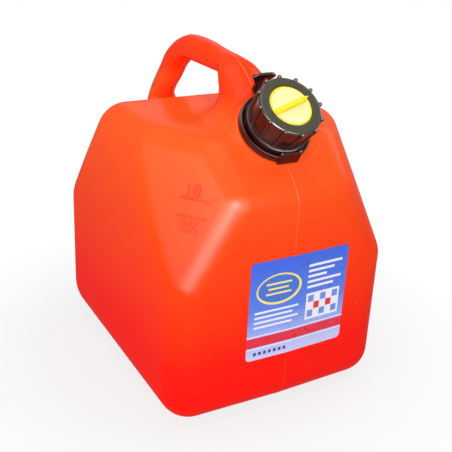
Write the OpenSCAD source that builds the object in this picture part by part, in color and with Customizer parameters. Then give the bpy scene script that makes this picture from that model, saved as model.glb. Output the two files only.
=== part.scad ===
// Gas can of about ten litres: a blow-moulded tank with its handle and slanted filler neck,
// a ribbed screw collar over a stopper and an inverted pour spout, and a sliding safety lock ring.
// X runs across the front, Y to the rear and Z up. The origin is on the ground under the middle.

/* [Tank] */
// Width across the two sides
body_w = 220; // [190:1:250]
// Length from the front seam to the rear seam
body_l = 274; // [250:1:310]
// Height of the flat roof above the ground
roof_z = 247; // [235:1:275]
// Thickness of the moulded wall
wall = 2.5; // [1.5:0.1:4]
// Angle by which each half of the front turns back from the seam
front_bow = 1.5; // [0.5:0.5:4]
// Angle by which each half of the rear turns back from the seam
rear_bow = 4; // [1:0.5:6]
// Radius of the front and upper edges
edge_r = 28; // [20:1:32]
// Radius of the rear corners and of the edge round the bottom there
rear_r = 42; // [24:1:46]
// Lean of the upper side walls
side_lean = 6.4; // [2:0.2:10]
// Height at which the side walls start to lean
lean_z = 178; // [160:1:190]

/* [Corner facets and shoulders] */
// Turn of a corner facet from the side towards the front or rear
facet_turn = 34; // [28:1:42]
// Upward tilt of a corner facet
facet_tilt = 25; // [20:1:30]
// Height of the lower tip of a front facet
facet_front_z = 110; // [95:1:130]
// Height of the lower tip of a rear facet
facet_rear_z = 112; // [95:1:130]
// Height at which the front shoulder starts
shoulder_z = 203; // [195:1:210]
// Slope of the front shoulder
shoulder_slope = 42; // [38:0.5:45]
// Distance from the rear seam to the crest of the roof
crest_in = 100; // [85:1:110]
// Slope of the rear shoulder
rear_slope = 30; // [24:1:36]

/* [Handle] */
// Height of the grip above the roof
grip_rise = 54; // [46:0.5:66]
// Thickness of the grip from top to bottom
grip_t = 24; // [18:0.5:28]
// Width of the grip
grip_w = 24; // [18:0.5:32]
// Distance from the front seam to the front end of the grip
grip_front_in = 135; // [120:1:150]
// Distance from the rear seam to the rear end of the grip
grip_rear_in = 80; // [72:1:95]
// Distance from the front seam to the front of the hand hole
hole_front_in = 121; // [114:1:128]
// Width of the front pillar at its foot
pillar_w = 100; // [80:1:110]
// Width of the front pillar at its head
pillar_head_w = 56; // [30:1:60]
// Slope of the front of the pillar
pillar_slope = 40; // [37:0.5:41]
// Width of the rear leg where it meets the rear shoulder
leg_w = 36; // [28:1:44]
// Thickness of the rear leg
leg_t = 27; // [22:0.5:32]

/* [Neck] */
// Distance of the neck from the front seam, measured level
neck_in = 47.2; // [43:0.2:51]
// Tilt of the neck and of its seat
neck_tilt = 41.5; // [39:0.5:43]
// Rise of the seat above the shoulder at the neck axis
seat_rise = 0.8; // [0.4:0.1:2]
// Length of the neck above its seat
neck_l = 25; // [22:0.5:30]
// Diameter of the plain part of the neck
neck_d = 41.6; // [40:0.2:42.4]
// Diameter of the bore
bore_d = 36; // [30:0.5:36]
// Depth of the thread
thread_depth = 1.5; // [1:0.1:2]
// Axial distance from one turn to the next
thread_pitch = 6; // [5:0.1:8]
// Number of turns on the neck
thread_turns = 1.5; // [1:0.25:2]
// Height of the lowest turn above the seat
thread_z = 13; // [12:0.5:14]

/* [Screw collar] */
// Diameter of the collar wall at its foot
collar_d = 50.6; // [50:0.2:52]
// Diameter of the collar wall at its top
collar_top_d = 55; // [52:0.2:58]
// Height of the collar's top face above the seat
collar_top = 36.5; // [36:0.5:44]
// Height of its lower rim above the seat
collar_low = 3; // [2.8:0.1:5]
// Diameter of the hole in its top
collar_hole_d = 38; // [32:0.5:39]
// Number of grip ribs
rib_count = 12; // [8:1:16]
// Diameter of a grip rib
rib_d = 3.6; // [2.4:0.1:5]
// Turn of the first rib from the right
rib_phase = 27; // [0:1:29]
// Lean of the ribs away from the neck axis
rib_lean = 7; // [5:0.5:8]
// Rise of their domed ends above the collar's top
rib_rise = 1; // [0:0.1:2]
// Radius of the rounded upper edge
collar_round = 1.4; // [1:0.1:3]
// Diameter over the ratchet teeth
ratchet_d = 57.6; // [56:0.1:60]
// Depth of a ratchet tooth
ratchet_depth = 1; // [0.6:0.1:1.6]
// Number of ratchet teeth
ratchet_count = 72; // [48:1:96]
// Height of the ratchet above the seat
ratchet_z = 7.5; // [6:0.5:9]
// Thickness of the ratchet
ratchet_t = 4; // [3:0.5:5]

/* [Lock ring] */
// Height of its wall
ring_h = 7; // [6:0.5:9]
// Thickness of its wall and floor
ring_t = 1.6; // [1.4:0.1:2]
// Travel from locked to released
ring_travel = 1.2; // [1.1:0.1:3.4]
// Width of the pawl block at the front
block_w = 20.6; // [14:0.2:26]
// How far the foot of the block stands out from the ring
block_out = 1.4; // [1:0.1:4]
// Height of the block
block_h = 12; // [10.5:0.5:14]
// Diameter of the two nubs at the top of the block
nub_d = 2.8; // [2:0.1:3.6]
// Lean of its front face towards the collar
block_lean = 11; // [0:1:12]
// Width of the thumb pad at the rear
pad_w = 23; // [18:0.5:28]
// Width of the arm that carries the pad
pad_arm_w = 7; // [5:0.5:16]
// Height of the thumb pad
pad_h = 22.5; // [18:0.5:30]
// Rise of the pad's rounded upper edge
pad_crown = 3; // [2:0.5:8]
// Distance of the pad's face from the neck axis
pad_out = 40; // [38.5:0.5:44]
// Thickness of the pad
pad_t = 2.6; // [2:0.1:4]

/* [Stopper and spout] */
// Thickness of the stopper's flange
stopper_t = 2.4; // [1.8:0.1:3]
// Width of the grip bar on the stopper
bar_w = 3.8; // [3:0.1:7]
// Height of the grip bar above the stopper's face
bar_h = 2.6; // [1.5:0.1:4]
// Height of its pointed end
bar_tip_h = 4.6; // [3:0.1:6]
// Turn of the grip bar from the right
bar_turn = 16; // [0:1:45]
// Thickness of each gasket
gasket_t = 1.6; // [1:0.1:2]
// Outer diameter of the spout tube
spout_d = 28; // [22:0.5:31]
// Wall of the spout tube
spout_wall = 2; // [1.5:0.1:2.5]
// Length of the spout under its flange
spout_l = 160; // [120:1:180]
// Thickness of the spout's flange
spout_flange_t = 2.4; // [1.8:0.1:3]
// Outer diameter of the vent tube
vent_d = 7; // [5:0.5:8]

/* [Label] */
// Width of the label
label_w = 101; // [80:1:120]
// Height of the label
label_h = 94; // [60:1:105]
// Height of its lower edge above the ground
label_z = 56; // [45:1:70]
// Distance of its middle from the seam
label_x = 8; // [-15:1:15]
// Radius of its corners
label_r = 4; // [1:0.5:8]
// Thickness of the label
label_t = 0.2; // [0.1:0.05:0.4]

/* [Hidden] */

// Clearances: sliding and turning fits, seats that only touch, and how far a cut runs past a face
run_gap = 0.3;
seat_gap = 0.05;
past = 1;
$fn = 64;
// Facets of the rounded tank, outside and inside
tank_fn = 40;
cavity_fn = 24;

front_y = -body_l / 2;
rear_y = body_l / 2;

// The tank is bounded by planes, each a normal and its distance from the origin
function plane_at(normal, point) = [normal, normal * point];
left_end = [-body_w / 2, front_y + body_w / 2 * tan(front_bow), 0];
left_tail = [-body_w / 2, rear_y - body_w / 2 * tan(rear_bow), 0];
base = [[0, 0, -1], 0];
roof = [[0, 0, 1], roof_z];
side = [[-1, 0, 0], body_w / 2];
upper_side = plane_at([-cos(side_lean), 0, sin(side_lean)], [-body_w / 2, 0, lean_z]);
front = plane_at([-sin(front_bow), -cos(front_bow), 0], [0, front_y, 0]);
rear = plane_at([-sin(rear_bow), cos(rear_bow), 0], [0, rear_y, 0]);
shoulder = plane_at([0, -sin(shoulder_slope), cos(shoulder_slope)], [0, front_y, shoulder_z]);
rear_shoulder = plane_at([0, sin(rear_slope), cos(rear_slope)], [0, rear_y - crest_in, roof_z]);
function facet_normal(way) = [-cos(facet_tilt) * cos(facet_turn),
                              way * cos(facet_tilt) * sin(facet_turn), sin(facet_tilt)];
front_facet = plane_at(facet_normal(-1), left_end + [0, 0, facet_front_z]);
rear_facet = plane_at(facet_normal(1), left_tail + [0, 0, facet_rear_z]);

// Where three planes meet once each has moved in by r
function inset(p, r) = p[1] - r;
function meet(a, b, c, r) =
    (inset(a, r) * cross(b[0], c[0]) + inset(b, r) * cross(c[0], a[0]) + inset(c, r) * cross(a[0], b[0]))
    / (a[0] * cross(b[0], c[0]));
// The middle plane, which stays where it is when the others move in
function middle(r) = [[1, 0, 0], r];

// Corner balls of the left half, each a centre and a radius
left_balls = [
    for (v = [[base, front, side, edge_r], [base, rear, side, rear_r],
              [front, side, front_facet, edge_r], [rear, side, rear_facet, rear_r],
              [side, upper_side, front_facet, edge_r], [side, upper_side, rear_facet, edge_r],
              [upper_side, roof, front_facet, edge_r], [upper_side, roof, rear_facet, edge_r],
              [roof, shoulder, front_facet, edge_r], [roof, rear_shoulder, rear_facet, edge_r],
              [front, shoulder, front_facet, edge_r], [rear, rear_shoulder, rear_facet, edge_r]])
        [meet(v[0], v[1], v[2], v[3]), v[3]]
];
middle_balls = [
    for (v = [[base, front], [front, shoulder], [base, rear], [rear, rear_shoulder]])
        [meet(v[0], v[1], middle(edge_r), edge_r), edge_r]
];

// Neck frame: its Z is the neck axis, its Y climbs the seat and its origin is on the seat
neck_at = [0, front_y + neck_in, shoulder_z + neck_in * tan(shoulder_slope) + seat_rise];
thread_d = neck_d + 2 * thread_depth;
flange_d = thread_d - 2 * run_gap;
land_d = thread_d + run_gap;
land_h = collar_low - 2 * run_gap;
collar_bore = thread_d + 4 * run_gap;
thread_root = thread_pitch * 0.45;
thread_tip = thread_pitch * 0.3;
thread_sink = 0.4;
thread_steps = 24;
// A turn of thread starts and ends at this share of its depth
thread_start = 0.12;

// The lock ring clears the ratchet over its whole travel
ring_inner_r = ratchet_d / 2 + ring_travel + run_gap;
ring_d = 2 * (ring_inner_r + ring_t);
seat_d = ring_d + 2 * past;
seat_depth = 8;

// Heights of the stack above the seat
spout_seat_z = neck_l + seat_gap + gasket_t;
stopper_seat_z = spout_seat_z + spout_flange_t + gasket_t;
stopper_top_z = stopper_seat_z + stopper_t;
stopper_face_z = collar_top - run_gap;
collar_under_z = stopper_top_z + run_gap;
plug_l = 6;
// The stopper's face is dished inside a rim
rim_w = 1.6;
dish = 0.7;
vent_wall = 1;
collar_turns = thread_turns - 0.25;
// Each ratchet tooth drops within this share of its width
ratchet_lean = 0.25;
// The ribs stand on the ratchet and lean out further than the wall
rib_low = ratchet_z + ratchet_t;
// The pad's upper edge is flat in the middle and falls towards its corners
crown_steps = 16;
crown_power = 6;

// Handle stations: outer point and inner point in the middle plane, half width at each, squareness
grip_top_z = roof_z + grip_rise;
grip_low_z = grip_top_z - grip_t;
grip_half = grip_w / 2;
grip_y0 = front_y + grip_front_in;
grip_y1 = rear_y - grip_rear_in;
grip_mid = (grip_y0 + grip_y1) / 2;
hole_y = front_y + hole_front_in;
grip_square = 2.2;

// The pillar climbs behind the seat, a little under the lock ring
pillar_sink = 0.9;
pillar_head_half = pillar_head_w / 2;
pillar_head_y = hole_y - 28;
pillar_foot_z = roof_z - 8;
pillar_head_z = grip_low_z - 9;
pillar_flare = 2.2;
pillar_step = 0.25;
function pillar_front(y) = neck_at[2] + (y - neck_at[1]) * tan(pillar_slope) - pillar_sink;
function between(a, b, share) = a * (1 - share) + b * share;
function pillar_station(share) =
    let (y = between(neck_at[1], pillar_head_y, share))
    [y, pillar_front(y), hole_y, between(pillar_foot_z, pillar_head_z, share),
     between(pillar_head_half, pillar_w / 2, pow(1 - share, pillar_flare)),
     between(grip_half, pillar_w / 2, pow(1 - share, pillar_flare)), grip_square];
front_stations = [for (share = [0 : pillar_step : 1]) pillar_station(share)];

// Bend from the pillar into the grip: forward of the grip and below its top, behind the front of
// the hole and below the grip, and the share of the pillar's extra width that is left
front_bend = [[30, 9.5, 1.5, 3, 0.65], [17, 5, 8, 0.5, 0.15]];
bend_stations = [for (p = front_bend)
    [grip_y0 - p[0], grip_top_z - p[1], hole_y + p[2], grip_low_z - p[3],
     between(grip_half, pillar_head_half, p[4]), grip_half, grip_square]];
grip_ease = 3;
grip_stations = [
    for (p = [[grip_y0 + grip_ease, grip_ease, grip_y0 + 2 * grip_ease], [grip_mid, 0, grip_mid],
              [grip_y1, 0, grip_y1 - grip_ease]])
        [p[0], grip_top_z - p[1], p[2], grip_low_z, grip_half, grip_half, grip_square]
];
// Rear leg: outer point ahead of the rear seam and below the grip's top, the same for the inner
// point below the grip, and the share of the leg's extra width
leg_curve = [
    [61, 6, 71, 1.5, 0], [48, 13.5, 63, 7.5, 0], [36, 23, 55.5, 14, 0], [26, 36, 45, 27, 0],
    [15.5, 49, 32.5, 40, 0], [7, 62.5, 25, 52, 0.2],
    [4, 80.5, 4 + leg_t, 66, 1], [6, 102, 10 + leg_t, 86, 1.6]
];
leg_stations = [for (p = leg_curve)
    let (half = between(grip_half, leg_w / 2, p[4]))
    [rear_y - p[0], grip_top_z - p[1], rear_y - p[2], grip_low_z - p[3], half, half, grip_square]];
handle_stations = concat(front_stations, bend_stations, grip_stations, leg_stations);
handle_sides = 20;
handle_steps = 2;

// A smooth curve through the stations
function clamp_at(list, i) = list[max(0, min(len(list) - 1, i))];
function blend4(a, b, c, d, t) =
    b + (c - a) * t / 2 + (2 * a - 5 * b + 4 * c - d) * t * t / 2
    + (3 * b - a - 3 * c + d) * t * t * t / 2;
function smooth_list(list, steps) = concat(
    [for (i = [0 : len(list) - 2], k = [0 : steps - 1])
        blend4(clamp_at(list, i - 1), list[i], list[i + 1], clamp_at(list, i + 2), k / steps)],
    [list[len(list) - 1]]);
function round_power(v, power) = sign(v) * pow(abs(v), 2 / power);
// One ring of points at a station, taken in by the given thickness
function handle_ring(s, taken) =
    let (out = [0, s[0], s[1]], in = [0, s[2], s[3]], mid = (out + in) / 2, half = norm(out - in) / 2)
    let (u = (out - in) / (2 * half))
    [for (k = [0 : handle_sides - 1]) let (a = 360 * k / handle_sides)
        mid + [(between(s[5], s[4], (1 + sin(a)) / 2) - taken) * round_power(cos(a), s[6]), 0, 0]
            + u * (half - taken) * round_power(sin(a), s[6])];

module sweep(rings) {
    sides = len(rings[0]);
    count = len(rings);
    points = [for (ring = rings, p = ring) p];
    walls = [for (i = [0 : count - 2], k = [0 : sides - 1])
        let (a = i * sides + k, b = i * sides + (k + 1) % sides)
        each [[a, b, a + sides], [b, b + sides, a + sides]]];
    start_cap = [for (k = [1 : sides - 2]) [0, k + 1, k]];
    end_at = (count - 1) * sides;
    end_cap = [for (k = [1 : sides - 2]) [end_at, end_at + k, end_at + k + 1]];
    polyhedron(points, concat(walls, start_cap, end_cap));
}

module on_neck() {
    translate(neck_at) rotate([neck_tilt, 0, 0]) children();
}

module ball(at, r, fn) {
    translate(at) sphere(r = r / cos(180 / fn), $fn = fn);
}

// The rounded tank body, taken in by the given thickness
module tank_body(taken, fn) {
    hull() {
        for (b = middle_balls) ball(b[0], b[1] - taken, fn);
        for (b = left_balls, way = [1, -1])
            ball([way * b[0][0], b[0][1], b[0][2]], b[1] - taken, fn);
    }
}

module handle_body(taken) {
    sweep([for (s = smooth_list(handle_stations, handle_steps)) handle_ring(s, taken)]);
}

// A helical ridge of the given turns from the root radius to the tip radius, fading at both ends
module helix(root_r, tip_r, turns, pitch) {
    count = ceil(thread_steps * turns);
    fade = thread_steps / 4;
    way = tip_r > root_r ? 1 : -1;
    half_root = way * thread_root / 2;
    half_tip = way * thread_tip / 2;
    sweep([for (i = [0 : count])
        let (a = 360 * i / thread_steps, z = pitch * i / thread_steps)
        let (full = max(thread_start, min(1, i / fade, (count - i) / fade)))
        let (tip = between(root_r, tip_r, full))
        [for (p = [[root_r, -half_root], [tip, -half_tip], [tip, half_tip], [root_r, half_root]])
            [p[0] * cos(a), p[0] * sin(a), z + p[1]]]]);
}

module tank_shell() {
    color("orangered") difference() {
        tank_body(0, tank_fn);
        on_neck() closure_pocket();
        tank_body(wall, cavity_fn);
        handle_body(wall);
        on_neck() translate([0, 0, -neck_in]) cylinder(d = bore_d, h = neck_in);
    }
}

// The hollow handle, which opens into the tank at both ends
module carry_handle() {
    color("orangered") difference() {
        handle_body(0);
        on_neck() closure_pocket();
        tank_body(-seat_gap, tank_fn);
        handle_body(wall);
    }
}

// The hole that takes the neck's flange, and room over it for the lock ring and its thumb pad
module closure_pocket() {
    pad_room = pad_w + 4 * run_gap;
    translate([0, 0, -seat_depth - seat_gap])
        cylinder(d = seat_d + 2 * seat_gap, h = seat_depth + seat_gap + collar_top + pad_h);
    translate([-pad_room / 2, 0, 0]) cube([pad_room, pad_out + pad_t + 2 * past, collar_top]);
}

// The threaded neck and the flange that carries the seat, moulded into the tank
module filler_neck() {
    color("orangered") on_neck() difference() {
        union() {
            translate([0, 0, -seat_depth]) cylinder(d = seat_d, h = seat_depth);
            translate([0, 0, -past]) cylinder(d = neck_d, h = past + neck_l);
            translate([0, 0, -past]) cylinder(d = land_d, h = past + land_h);
            translate([0, 0, thread_z]) helix(neck_d / 2 - thread_sink, thread_d / 2, thread_turns, thread_pitch);
        }
        translate([0, 0, -seat_depth - past]) cylinder(d = bore_d, h = seat_depth + neck_l + 2 * past);
    }
}

// The label lies on both halves of the front and folds at the seam
module label_half(way) {
    reach = body_w / 2;
    start = way > 0 ? -label_t : label_t - reach;
    translate([0, front_y, 0]) rotate([90, 0, way * front_bow]) linear_extrude(label_t)
        intersection() {
            translate([label_x, label_z + label_h / 2]) label_outline();
            translate([start, 0]) square([reach, roof_z]);
        }
}

module label_outline() {
    across = label_w - 2 * label_r;
    up = label_h - 2 * label_r;
    square([across, label_h], center = true);
    square([label_w, up], center = true);
    for (x = [-across / 2, across / 2], y = [-up / 2, up / 2]) translate([x, y]) circle(r = label_r);
}

module front_label() {
    color("royalblue") {
        label_half(1);
        label_half(-1);
    }
}

module lock_ring() {
    block_face = ring_d / 2 + block_out;
    block_top = block_face - block_h * tan(block_lean);
    nub_r = nub_d / 2;
    color("dimgray") on_neck() translate([0, 0, run_gap]) difference() {
        union() {
            difference() {
                union() {
                    cylinder(d = ring_d, h = ring_h);
                    pawl_block(block_face, block_top);
                }
                translate([0, 0, ring_t]) cylinder(r = ring_inner_r, h = block_h + past);
            }
            pawl();
            thumb_pad();
            for (x = [-1, 1]) translate([x * (block_w / 2 - nub_r), nub_r - block_top, block_h - 2 * nub_r])
                cylinder(r = nub_r, h = 2.5 * nub_r);
        }
        neck_slot();
    }
}

// The block at the front, whose face leans from its foot to its top
module pawl_block(foot, top) {
    translate([-block_w / 2, 0, 0]) rotate([90, 0, 90]) linear_extrude(block_w)
        polygon([[-foot, 0], [0, 0], [0, block_h], [-top, block_h]]);
}

// The pad stands on an arm behind the ring, opens out like a fan and has a rounded upper edge
module thumb_pad() {
    arm_y = ring_d / 2 - ring_t;
    waist_z = pad_h * 0.32;
    side_z = pad_h - pad_crown;
    crown = [for (k = [0 : crown_steps]) let (x = pad_w * (0.5 - k / crown_steps))
        [x, side_z + pad_crown * (1 - pow(2 * x / pad_w, crown_power))]];
    translate([-pad_arm_w / 2, arm_y, 0]) cube([pad_arm_w, pad_out + pad_t - arm_y, ring_t]);
    translate([-ring_t / 2, arm_y, 0]) cube([ring_t, pad_out + pad_t / 2 - arm_y, ring_h]);
    translate([0, pad_out + pad_t, 0]) rotate([90, 0, 0]) linear_extrude(pad_t)
        polygon(concat([[-pad_arm_w / 2, waist_z], [-pad_arm_w / 2, 0], [pad_arm_w / 2, 0],
                        [pad_arm_w / 2, waist_z]], crown));
}

// The slot that guides the ring on the neck's land
module neck_slot() {
    slot_r = land_d / 2 + run_gap;
    slot_l = ring_travel + run_gap;
    for (y = [0, slot_l]) translate([0, y, -past]) cylinder(r = slot_r, h = ring_t + 2 * past);
    translate([-slot_r, 0, -past]) cube([2 * slot_r, slot_l, ring_t + 2 * past]);
}

// The pawl stands inside the front of the ring, at the height of the ratchet
module pawl() {
    tip_r = ratchet_d / 2 + 2 * run_gap;
    root_r = ring_inner_r + run_gap;
    pawl_w = block_w * 0.4;
    pawl_h = block_h - ratchet_z + run_gap;
    intersection() {
        translate([-pawl_w / 2, -root_r, block_h - pawl_h]) cube([pawl_w, root_r, pawl_h]);
        difference() {
            cylinder(r = root_r, h = block_h);
            translate([0, 0, -past]) cylinder(r = tip_r, h = block_h + 2 * past);
        }
    }
}

module screw_collar() {
    wall_r = collar_d / 2;
    color("black") on_neck() {
        difference() {
            union() {
                rotate_extrude() collar_profile(wall_r, collar_top_d / 2);
                translate([0, 0, ratchet_z]) linear_extrude(ratchet_t) ratchet_outline();
                for (k = [0 : rib_count - 1]) rotate(rib_phase + 360 * k / rib_count)
                    translate([wall_r, 0, rib_low]) rotate([0, rib_lean, 0]) rotate_extrude() rib_profile();
            }
            translate([0, 0, -past]) cylinder(d = collar_bore, h = collar_under_z + past);
            cylinder(d = collar_hole_d, h = collar_top + past);
        }
        translate([0, 0, thread_z + thread_pitch / 2])
            helix(collar_bore / 2 + thread_sink, neck_d / 2 + 2 * run_gap, collar_turns, thread_pitch);
    }
}

// Half section of a grip rib from inside the ratchet, with a domed end at the collar's top
module rib_profile() {
    top = (collar_top - rib_low + rib_rise) / cos(rib_lean);
    r = rib_d / 2;
    translate([0, -run_gap]) square([r, top - r + run_gap]);
    intersection() {
        translate([0, top - r]) circle(r = r);
        translate([0, top - r]) square([r, r]);
    }
}

// Half section of the collar: a wall that opens upwards, with a rounded upper edge
module collar_profile(foot_r, top_r) {
    bend_z = collar_top - collar_round;
    polygon([[0, collar_low], [foot_r, collar_low], [foot_r, rib_low], [top_r, bend_z],
             [top_r - collar_round, bend_z], [top_r - collar_round, collar_top], [0, collar_top]]);
    translate([top_r - collar_round, bend_z]) circle(r = collar_round);
}

module ratchet_outline() {
    step = 360 / ratchet_count;
    tooth = [[0, ratchet_d / 2], [ratchet_lean, ratchet_d / 2 - ratchet_depth]];
    polygon([for (k = [0 : ratchet_count - 1], p = tooth)
        p[1] * [cos((k + p[0]) * step), sin((k + p[0]) * step)]]);
}

module stopper_disc() {
    face_r = collar_hole_d / 2 - run_gap;
    bar_l = 2 * face_r - rim_w;
    plug_d = spout_d - 2 * spout_wall - 2 * run_gap;
    color("gold") on_neck() {
        difference() {
            union() {
                translate([0, 0, stopper_seat_z]) cylinder(d = flange_d, h = stopper_t);
                translate([0, 0, stopper_seat_z]) cylinder(r = face_r, h = stopper_face_z - stopper_seat_z);
                translate([0, 0, stopper_seat_z - plug_l]) cylinder(d = plug_d, h = plug_l);
            }
            translate([0, 0, stopper_face_z - dish]) cylinder(r = face_r - rim_w, h = dish + past);
        }
        rotate(bar_turn) translate([0, 0, stopper_face_z - dish]) grip_bar(bar_l);
    }
}

// Grip bar that rises towards its pointed end
module grip_bar(l) {
    intersection() {
        linear_extrude(max(bar_h, bar_tip_h)) bar_outline(l);
        translate([0, bar_w, 0]) rotate([90, 0, 0]) linear_extrude(2 * bar_w)
            polygon([[-l / 2, 0], [l / 2, 0], [l / 2, bar_tip_h], [-l / 2, bar_h]]);
    }
}

module bar_outline(l) {
    half = bar_w / 2;
    polygon([[-l / 2, -half], [l / 2 - bar_w, -half], [l / 2, 0], [l / 2 - bar_w, half], [-l / 2, half]]);
}

module gasket(z) {
    on_neck() translate([0, 0, z]) difference() {
        cylinder(d = flange_d, h = gasket_t);
        translate([0, 0, -past]) cylinder(d = spout_d + 2 * run_gap, h = gasket_t + 2 * past);
    }
}

module stopper_gasket() {
    color("dimgray") gasket(spout_seat_z + spout_flange_t);
}

module spout_gasket() {
    color("dimgray") gasket(neck_l + seat_gap);
}

// The spout hangs upside down in the tank while it is stored
module pour_spout() {
    bore = spout_d - 2 * spout_wall;
    tip_l = spout_wall * 4;
    color("gold") on_neck() translate([0, 0, spout_seat_z]) difference() {
        union() {
            cylinder(d = flange_d, h = spout_flange_t);
            translate([0, 0, tip_l - spout_l]) cylinder(d = spout_d, h = spout_l - tip_l);
            translate([0, 0, -spout_l]) cylinder(d1 = spout_d - spout_wall, d2 = spout_d, h = tip_l);
        }
        translate([0, 0, -spout_l - past]) cylinder(d = bore, h = spout_l + spout_flange_t + 2 * past);
    }
}

// The vent tube lies along the bore of the spout
module vent_tube() {
    bore_r = spout_d / 2 - spout_wall;
    vent_l = spout_l - 2 * plug_l;
    vent_y = bore_r - vent_d / 2 - seat_gap;
    color("khaki") on_neck() translate([0, vent_y, spout_seat_z - spout_l]) difference() {
        cylinder(d = vent_d, h = vent_l);
        translate([0, 0, -past]) cylinder(d = vent_d - 2 * vent_wall, h = vent_l + 2 * past);
    }
}

tank_shell();
carry_handle();
filler_neck();
front_label();
lock_ring();
screw_collar();
stopper_disc();
stopper_gasket();
pour_spout();
spout_gasket();
vent_tube();
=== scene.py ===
from math import ceil, cos, hypot, pi, radians, sin, sqrt, tan

import bmesh
import bpy
import numpy as np
from mathutils import Matrix, Vector, kdtree


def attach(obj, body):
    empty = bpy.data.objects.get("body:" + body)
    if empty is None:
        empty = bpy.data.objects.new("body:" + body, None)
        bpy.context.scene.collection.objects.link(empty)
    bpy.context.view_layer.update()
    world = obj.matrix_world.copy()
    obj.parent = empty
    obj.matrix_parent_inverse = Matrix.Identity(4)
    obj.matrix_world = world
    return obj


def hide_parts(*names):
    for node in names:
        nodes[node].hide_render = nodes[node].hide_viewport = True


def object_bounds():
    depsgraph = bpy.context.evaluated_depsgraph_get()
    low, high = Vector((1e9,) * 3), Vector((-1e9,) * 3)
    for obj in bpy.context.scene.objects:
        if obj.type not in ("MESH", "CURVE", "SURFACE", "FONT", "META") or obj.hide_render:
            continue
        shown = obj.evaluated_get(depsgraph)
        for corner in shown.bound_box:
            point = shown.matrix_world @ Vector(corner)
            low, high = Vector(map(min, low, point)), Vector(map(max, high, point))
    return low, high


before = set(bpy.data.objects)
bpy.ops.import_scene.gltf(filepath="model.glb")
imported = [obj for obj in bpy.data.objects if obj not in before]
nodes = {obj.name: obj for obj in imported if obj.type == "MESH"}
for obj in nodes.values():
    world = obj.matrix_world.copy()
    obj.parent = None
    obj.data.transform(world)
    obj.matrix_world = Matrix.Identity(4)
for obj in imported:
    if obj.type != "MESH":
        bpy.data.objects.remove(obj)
cad_box = [[float(c) for c in corner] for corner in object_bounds()]

MM = 0.001
TAU = 2 * pi
CAD_LOW, CAD_HIGH = (np.array(corner) / MM for corner in cad_box)

# Sizes in millimetres and radians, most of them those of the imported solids
# Tank
BODY_W, BODY_L, ROOF_Z = 220.0, 274.0, 247.0
FRONT_Y, REAR_Y = -BODY_L / 2, BODY_L / 2
FRONT_BOW, REAR_BOW = radians(1.5), radians(4)
EDGE_R, REAR_R = 28.0, 42.0
SIDE_LEAN, LEAN_Z = radians(6.4), 178.0
FACET_TURN, FACET_TILT = radians(34), radians(25)
FACET_FRONT_Z, FACET_REAR_Z = 110.0, 112.0
SHOULDER_Z, SHOULDER_SLOPE = 203.0, radians(42)
CREST_IN, REAR_SLOPE = 100.0, radians(30)
LABEL_X, LABEL_Z, LABEL_W, LABEL_H = 8.0, 56.0, 101.0, 94.0

# Handle
GRIP_TOP_Z, GRIP_T, GRIP_W = ROOF_Z + 54.0, 24.0, 24.0
GRIP_LOW_Z = GRIP_TOP_Z - GRIP_T
GRIP_Y0, GRIP_Y1, HOLE_Y = FRONT_Y + 135, REAR_Y - 80, FRONT_Y + 121
GRIP_MID = (GRIP_Y0 + GRIP_Y1) / 2
PILLAR_W, PILLAR_HEAD_W, LEG_W, LEG_T = 100.0, 56.0, 36.0, 27.0
PILLAR_SLOPE, PILLAR_SINK, PILLAR_FLARE = radians(40), 0.9, 2.2
PILLAR_HEAD_Y, PILLAR_FOOT_Z, PILLAR_HEAD_Z = HOLE_Y - 28, ROOF_Z - 8, GRIP_LOW_Z - 9
HANDLE_SQUARE = 2.2
# Bend into the grip: outer point before the grip and below its top, inner point behind the
# hole's front and below the grip, and share of the pillar head's width
BEND_ROWS = ((30, 9.5, 1.5, 3, 0.65), (17, 5, 8, 0.5, 0.15))
# Grip: y of the outer point, its depth below the top, and y of the inner point
GRIP_ROWS = ((GRIP_Y0 + 3, 3, GRIP_Y0 + 6), (GRIP_MID, 0, GRIP_MID), (GRIP_Y1, 0, GRIP_Y1 - 3))
# Rear leg: outer and inner point, each in from the rear and down from the grip, and share of
# the leg's width
LEG_ROWS = ((61, 6, 71, 1.5, 0), (48, 13.5, 63, 7.5, 0), (36, 23, 55.5, 14, 0),
            (26, 36, 45, 27, 0), (15.5, 49, 32.5, 40, 0), (7, 62.5, 25, 52, 0.2),
            (4, 80.5, 4 + LEG_T, 66, 1), (6, 102, 10 + LEG_T, 86, 1.6))

# Skin of tank and handle: points on a ball, steps and sides of the handle, voxel in metres,
# and rounds and weights of the smoothing
BALL_POINTS, HANDLE_STEPS, HANDLE_SIDES, SKIN_VOXEL = 1600, 10, 64, 0.0018
EVEN_ROUNDS, EVEN_IN, EVEN_OUT, BLEND_ROUNDS = 12, 0.5, -0.52, 110

# Neck, with its seat on the shoulder
NECK_IN, NECK_TILT, SEAT_RISE, NECK_L = 47.2, radians(41.5), 0.8, 25.0
NECK_R, BORE_R, LAND_R, LAND_H, NECK_SINK = 20.8, 18.0, 22.45, 2.4, 2.0
THREAD_R, THREAD_PITCH, THREAD_Z, THREAD_TURNS = 22.3, 6.0, 13.0, 1.5
THREAD_HALF, THREAD_FLANK, THREAD_FADE = 0.225 * THREAD_PITCH, 0.075 * THREAD_PITCH, 4
NECK_Z = SHOULDER_Z + NECK_IN * tan(SHOULDER_SLOPE) + SEAT_RISE
NECK_AT = np.array([0, FRONT_Y + NECK_IN, NECK_Z])
# Neck frame: its Z is the neck axis and its Y climbs the seat
NECK_TURN = np.array(Matrix.Rotation(NECK_TILT, 3, "X"))
NECK_AXIS = tuple(NECK_TURN[:, 2])

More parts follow.
